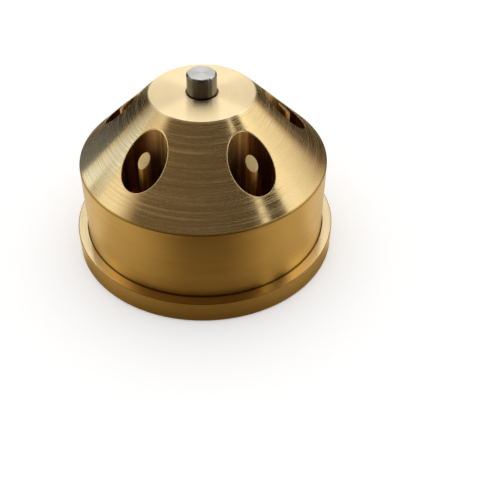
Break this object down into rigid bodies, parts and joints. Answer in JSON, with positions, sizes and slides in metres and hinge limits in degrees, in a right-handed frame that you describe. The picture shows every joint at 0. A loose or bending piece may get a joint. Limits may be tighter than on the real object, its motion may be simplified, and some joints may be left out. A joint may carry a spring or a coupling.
{
  "type": "pasta extrusion die",
  "caption": "Turned brass pasta die: flanged cylinder with a conical cutting face, slanted tube outlets round fixed mandrels and a steel spindle for the rotating knife.",
  "frame": {"origin": "centre of the inlet face, which the die stands on", "axes": "+Z along the axis from the inlet face to the knife spindle, +X through the axis of the first bore"},
  "size_m": [0.06, 0.06, 0.0435],
  "materials": {
    "body_brass": "fine turned brass, brushed round the axis on the cone and the top, satin on the cylinder and the flange",
    "mandrel_brass": "turned brass, slanted end finished with the cone",
    "spindle_steel": "ground stainless steel with a faced end"
  },
  "bodies": {
    "root": {"die_body": "body_brass", "knife_spindle": "spindle_steel", "mandrel_1": "mandrel_brass", "mandrel_2": "mandrel_brass", "mandrel_3": "mandrel_brass", "mandrel_4": "mandrel_brass", "mandrel_5": "mandrel_brass"}
  },
  "joints": []
}
